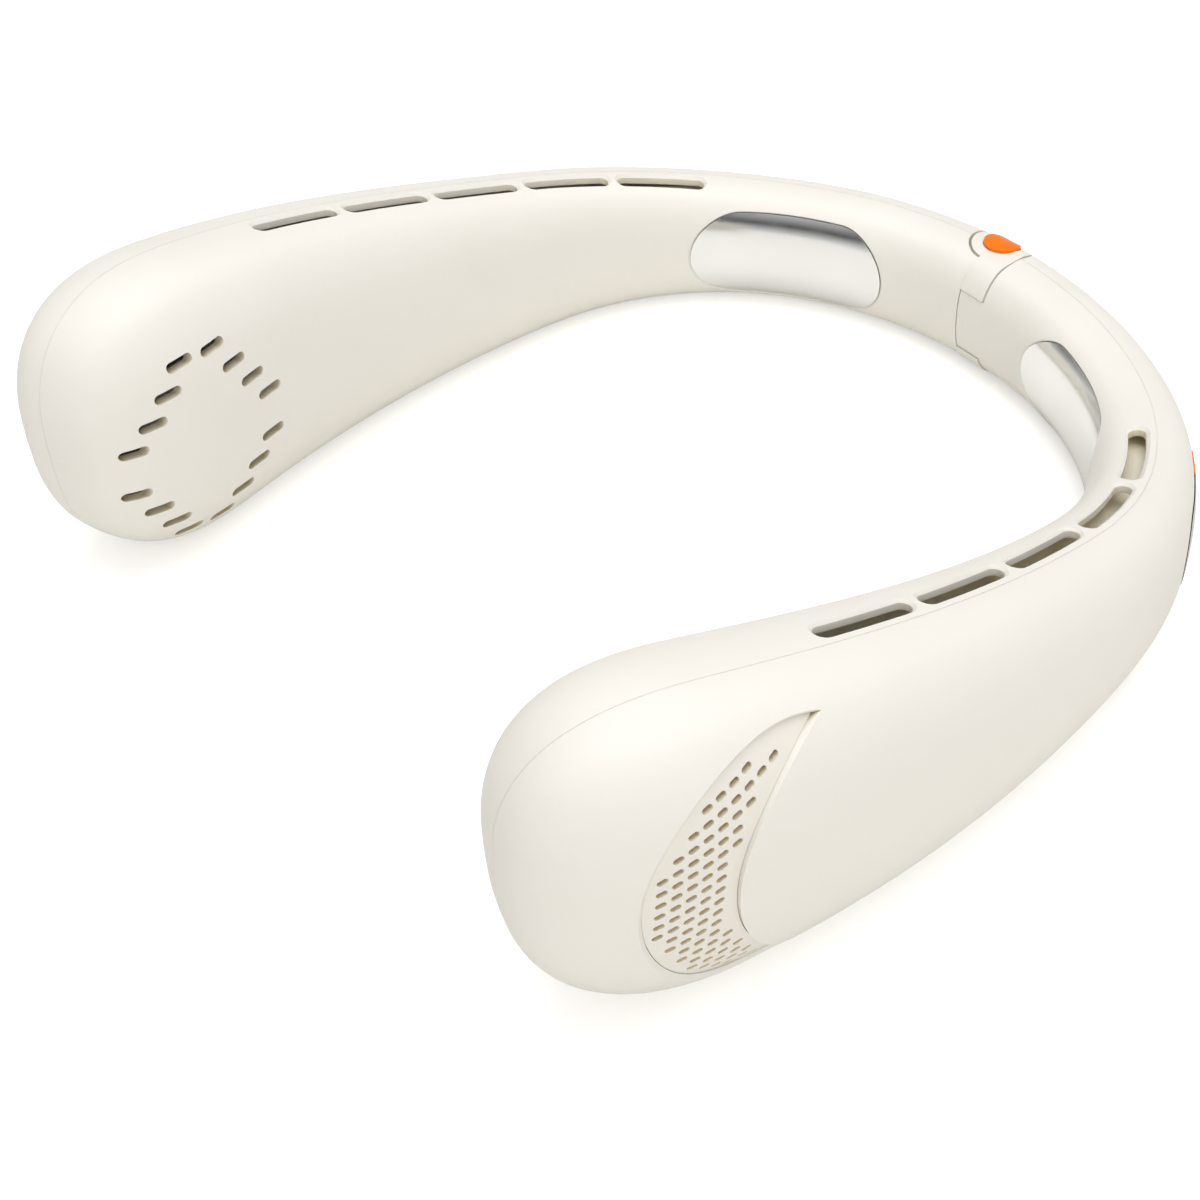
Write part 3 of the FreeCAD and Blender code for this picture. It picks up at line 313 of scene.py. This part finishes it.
def parting_tongue(side):
    """Thin wall that stands on an outer shell's parting face and reaches to the inner shell."""
    inner_shell = BVHTree.FromObject(nodes[side + "_inner_shell"], bpy.context.evaluated_depsgraph_get())
    form = bmesh.new()
    form.from_mesh(nodes[side + "_outer_shell"].data)
    bmesh.ops.remove_doubles(form, verts=form.verts, dist=WELD_DISTANCE)
    form.normal_update()
    others = [face for face in form.faces if not meets(face, inner_shell)]
    bmesh.ops.delete(form, geom=others, context="FACES")
    edges = bmesh.ops.inset_region(
        form, faces=form.faces[:], use_boundary=True, use_even_offset=True, thickness=TONGUE_SUNK
    )
    bmesh.ops.delete(form, geom=edges["faces"], context="FACES")
    bmesh.ops.solidify(form, geom=form.faces[:], thickness=-TONGUE_THICKNESS)
    bmesh.ops.recalc_face_normals(form, faces=form.faces)
    name = side + "_parting_tongue"
    mesh = bpy.data.meshes.new(name)
    form.to_mesh(mesh)
    form.free()
    mesh.materials.append(FINISHES["shell"])
    tongue = bpy.data.objects.new(name, mesh)
    bpy.context.scene.collection.objects.link(tongue)
    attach(tongue, side + "_arm")


for side in ("left", "right"):
    parting_tongue(side)


# Studio: white table, a soft dome, a wide lamp overhead and another at the camera's side

WHITE = (1.0, 1.0, 1.0, 1.0)
TABLE_HALF = 1.0
TABLE_TONE = (0.85, 0.835, 0.80)
TABLE_ROUGHNESS = 0.9
TABLE_LIFT_SEEN = 0.43
TABLE_LIFT_MIRRORED = 0.06
DOME_LEVELS = ((0.0, 0.75), (0.35, 0.04), (0.80, 0.70))


def white_table():
    """Table that keeps the fan's shadow and is white to the camera, and a little lighter in the plates."""
    mesh = bpy.data.meshes.new("table")
    form = bmesh.new()
    bmesh.ops.create_grid(form, x_segments=1, y_segments=1, size=TABLE_HALF)
    form.to_mesh(mesh)
    form.free()
    table = bpy.data.objects.new("table", mesh)
    bpy.context.scene.collection.objects.link(table)
    material, shader = finish_material("white_table", TABLE_ROUGHNESS)
    shader.inputs["Base Color"].default_value = (*TABLE_TONE, 1.0)
    shader.inputs["Emission Color"].default_value = WHITE
    tree = material.node_tree
    path = tree.nodes.new("ShaderNodeLightPath")
    mirrored = tree.nodes.new("ShaderNodeMath")
    mirrored.operation = "MULTIPLY"
    mirrored.inputs[1].default_value = TABLE_LIFT_MIRRORED
    lift = tree.nodes.new("ShaderNodeMath")
    lift.operation = "MULTIPLY_ADD"
    lift.inputs[1].default_value = TABLE_LIFT_SEEN
    tree.links.new(path.outputs["Is Glossy Ray"], mirrored.inputs[0])
    tree.links.new(path.outputs["Is Camera Ray"], lift.inputs[0])
    tree.links.new(mirrored.outputs["Value"], lift.inputs[2])
    tree.links.new(lift.outputs["Value"], shader.inputs["Emission Strength"])
    mesh.materials.append(material)


def studio_dome():
    """Soft dome: bright at the horizon and overhead, dark between them, and plain white to the camera."""
    world = bpy.data.worlds.new("studio")
    bpy.context.scene.world = world
    world.use_nodes = True
    tree = world.node_tree
    tree.nodes.clear()
    place = tree.nodes.new("ShaderNodeTexCoord")
    axes = tree.nodes.new("ShaderNodeSeparateXYZ")
    dome = tree.nodes.new("ShaderNodeBackground")
    white = tree.nodes.new("ShaderNodeBackground")
    white.inputs["Color"].default_value = WHITE
    path = tree.nodes.new("ShaderNodeLightPath")
    mix = tree.nodes.new("ShaderNodeMixShader")
    out = tree.nodes.new("ShaderNodeOutputWorld")
    tree.links.new(place.outputs["Generated"], axes.inputs["Vector"])
    levels = [(rise, (level, level, level)) for rise, level in DOME_LEVELS]
    tree.links.new(ramp(tree, axes.outputs["Z"], levels), dome.inputs["Color"])
    tree.links.new(path.outputs["Is Camera Ray"], mix.inputs["Fac"])
    tree.links.new(dome.outputs["Background"], mix.inputs[1])
    tree.links.new(white.outputs["Background"], mix.inputs[2])
    tree.links.new(mix.outputs["Shader"], out.inputs["Surface"])


def soft_lamp(name, place, aim, side, power):
    """Square lamp that lights the fan and isn't mirrored in it."""
    lamp = bpy.data.lights.new(name, "AREA")
    lamp.shape = "SQUARE"
    lamp.size = side
    lamp.energy = power
    holder = bpy.data.objects.new(name, lamp)
    holder.visible_glossy = False
    bpy.context.scene.collection.objects.link(holder)
    facing = (Vector(aim) - Vector(place)).to_track_quat("-Z", "Y")
    holder.matrix_world = Matrix.Translation(place) @ facing.to_matrix().to_4x4()


def photograph_camera():
    """Camera with the photograph's view: an orbit, a shift of its whole frame and a small roll."""
    back = Vector((
        math.cos(CAMERA_ELEVATION) * math.sin(CAMERA_AZIMUTH),
        -math.cos(CAMERA_ELEVATION) * math.cos(CAMERA_AZIMUTH),
        math.sin(CAMERA_ELEVATION),
    ))
    level = Vector((math.cos(CAMERA_AZIMUTH), math.sin(CAMERA_AZIMUTH), 0.0))
    upright = back.cross(level)
    right = math.cos(CAMERA_ROLL) * level + math.sin(CAMERA_ROLL) * upright
    up = math.cos(CAMERA_ROLL) * upright - math.sin(CAMERA_ROLL) * level
    data = bpy.data.cameras.new("camera")
    data.sensor_fit = "HORIZONTAL"
    data.angle = FIELD_OF_VIEW
    data.clip_start = NEAR_CLIP
    camera = bpy.data.objects.new("camera", data)
    bpy.context.scene.collection.objects.link(camera)
    turn = Matrix((right, up, back)).transposed().to_4x4()
    place = ORBIT_CENTRE + CAMERA_DISTANCE * back + CAMERA_SIDEWAYS * right + CAMERA_UPWARDS * up
    camera.matrix_world = Matrix.Translation(place) @ turn
    bpy.context.scene.camera = camera


white_table()
studio_dome()
soft_lamp("overhead", place=(-0.08, 0.10, 0.95), aim=(0.0, 0.0, 0.0), side=0.9, power=5.8)
soft_lamp("fill", place=(1.60, -0.90, 1.20), aim=(0.0, 0.0, 0.02), side=1.4, power=16.5)
photograph_camera()
bpy.context.scene.view_settings.view_transform = "Standard"
